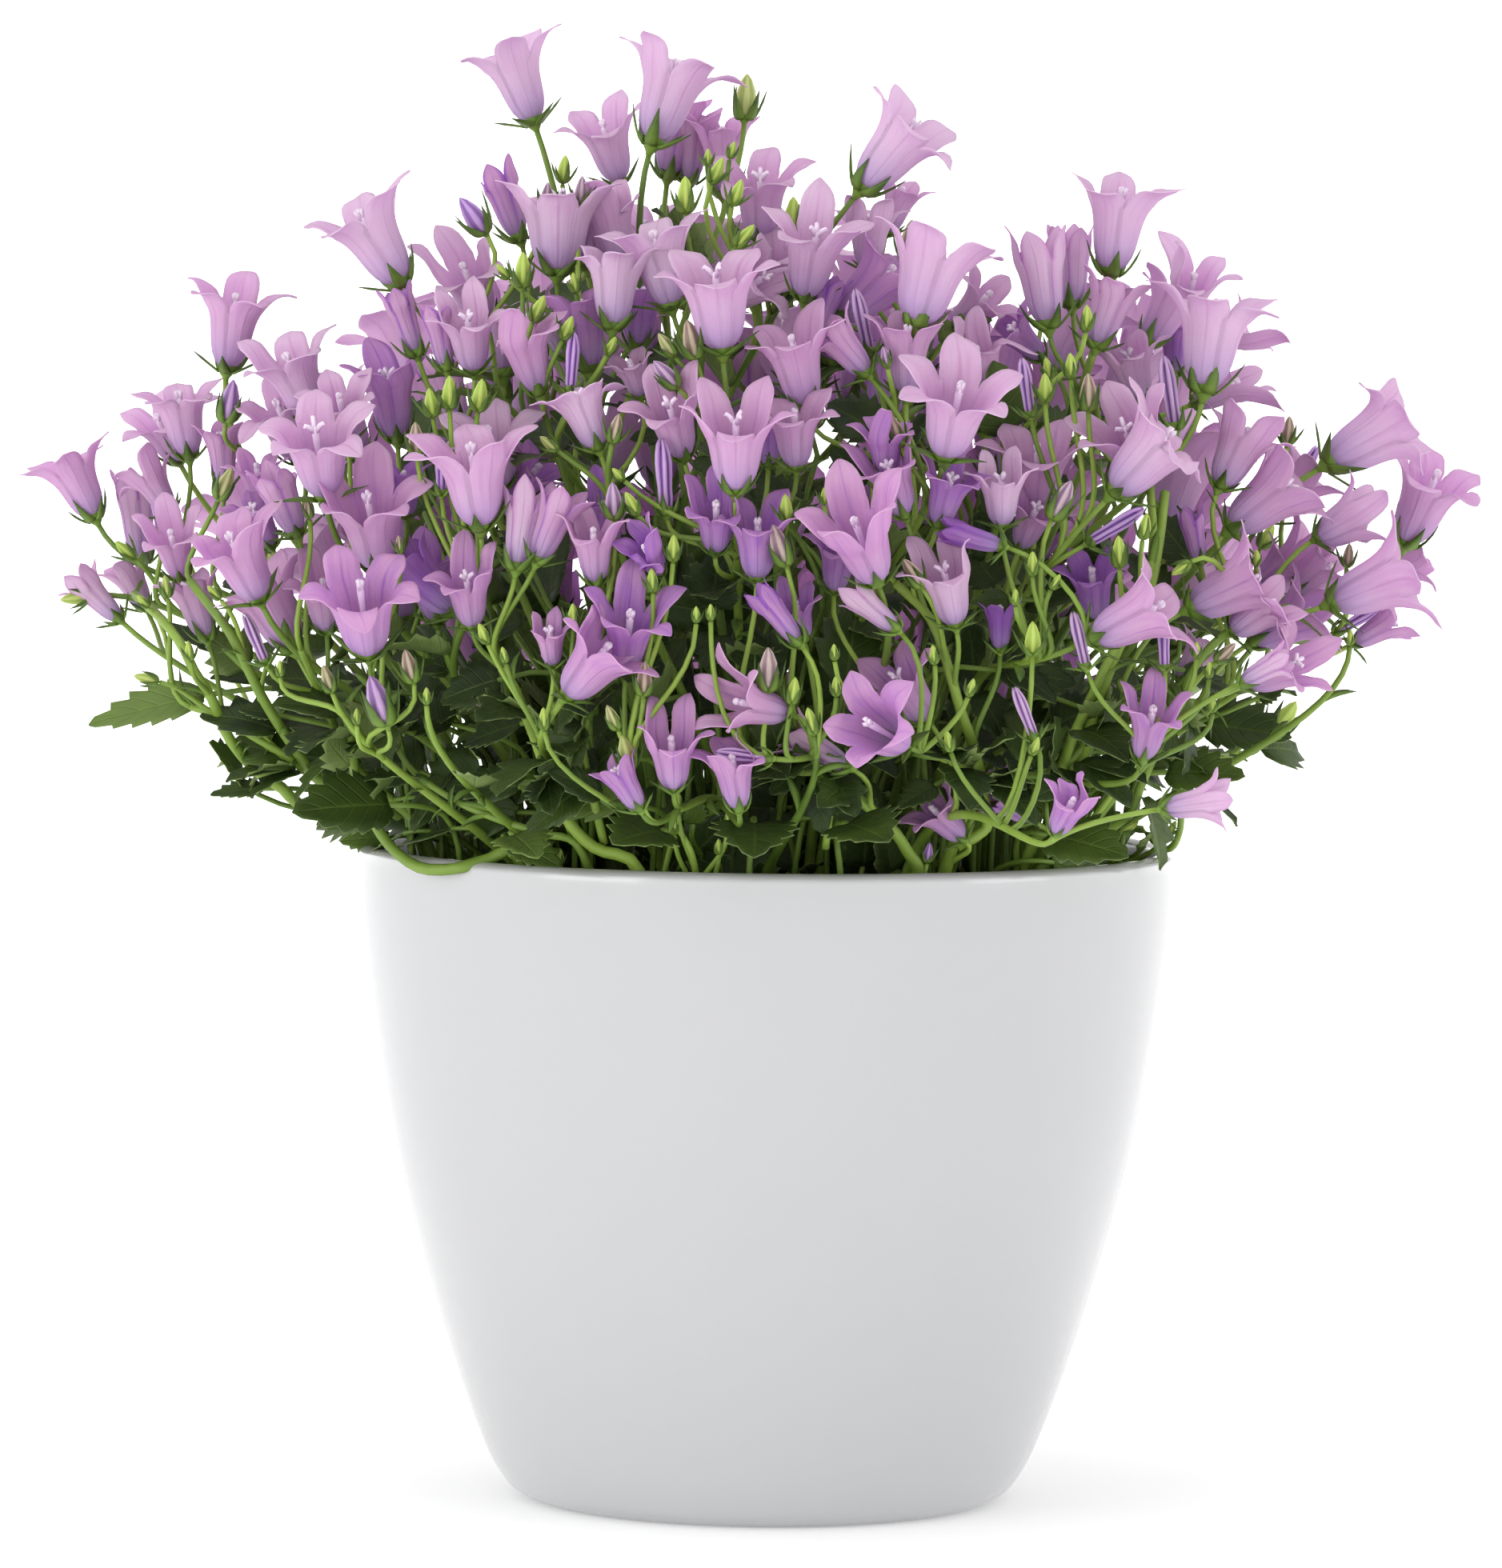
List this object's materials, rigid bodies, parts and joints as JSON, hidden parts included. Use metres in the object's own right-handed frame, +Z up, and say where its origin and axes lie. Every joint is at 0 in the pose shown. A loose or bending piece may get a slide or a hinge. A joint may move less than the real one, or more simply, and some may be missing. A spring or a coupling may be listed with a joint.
{
  "type": "potted dalmatian bellflower",
  "caption": "Potted dalmatian bellflower: upright lilac bells, buds and toothed leaves on branching green stems, rooted in soil in a round white glazed pot that rests on a flat foot.",
  "frame": {"origin": "centre of the pot's flat foot, on the surface that it rests on", "axes": "+Z up, -Y towards the viewer of the picture, +X to the viewer's right"},
  "size_m": [0.255, 0.212, 0.2535],
  "materials": {
    "white_glaze": "smooth glossy white glaze, no pattern or lettering",
    "potting_soil": "dark crumbly peat and bark, matt",
    "stem_green": "smooth green skin, slightly waxy",
    "leaf_green": "dark green, softly shining, paler underneath",
    "petal_lilac": "thin lilac petal with fine darker veins, matt",
    "bud_green": "green ribbed bud, matt"
  },
  "bodies": {
    "root": {"pot": "white_glaze", "potting_soil": "potting_soil", "stem_1": "stem_green", "stem_2": "stem_green", "stem_3": "stem_green", "stem_4": "stem_green", "stem_5": "stem_green", "stem_6": "stem_green", "stem_7": "stem_green", "stem_8": "stem_green", "stem_9": "stem_green", "stem_10": "stem_green", "stem_11": "stem_green", "stem_12": "stem_green", "stem_13": "stem_green", "stem_14": "stem_green", "stem_15": "stem_green", "leaf_1": "leaf_green", "leaf_2": "leaf_green", "leaf_3": "leaf_green", "leaf_4": "leaf_green", "leaf_5": "leaf_green", "leaf_6": "leaf_green", "leaf_7": "leaf_green", "leaf_8": "leaf_green", "leaf_9": "leaf_green", "leaf_10": "leaf_green", "leaf_11": "leaf_green", "flower_1": "petal_lilac", "flower_2": "petal_lilac", "flower_3": "petal_lilac", "flower_4": "petal_lilac", "flower_5": "petal_lilac", "flower_6": "petal_lilac", "flower_7": "petal_lilac", "flower_8": "petal_lilac", "flower_9": "petal_lilac", "flower_10": "petal_lilac", "flower_11": "petal_lilac", "flower_12": "petal_lilac", "flower_13": "petal_lilac", "flower_14": "petal_lilac", "flower_15": "petal_lilac", "flower_16": "petal_lilac", "flower_17": "petal_lilac", "flower_18": "petal_lilac", "flower_19": "petal_lilac", "flower_20": "petal_lilac", "flower_21": "petal_lilac", "flower_22": "petal_lilac", "flower_23": "petal_lilac", "flower_24": "petal_lilac", "flower_25": "petal_lilac", "flower_26": "petal_lilac", "flower_27": "petal_lilac", "flower_28": "petal_lilac", "flower_29": "petal_lilac", "flower_30": "petal_lilac", "bud_1": "bud_green", "bud_2": "bud_green"}
  },
  "joints": []
}
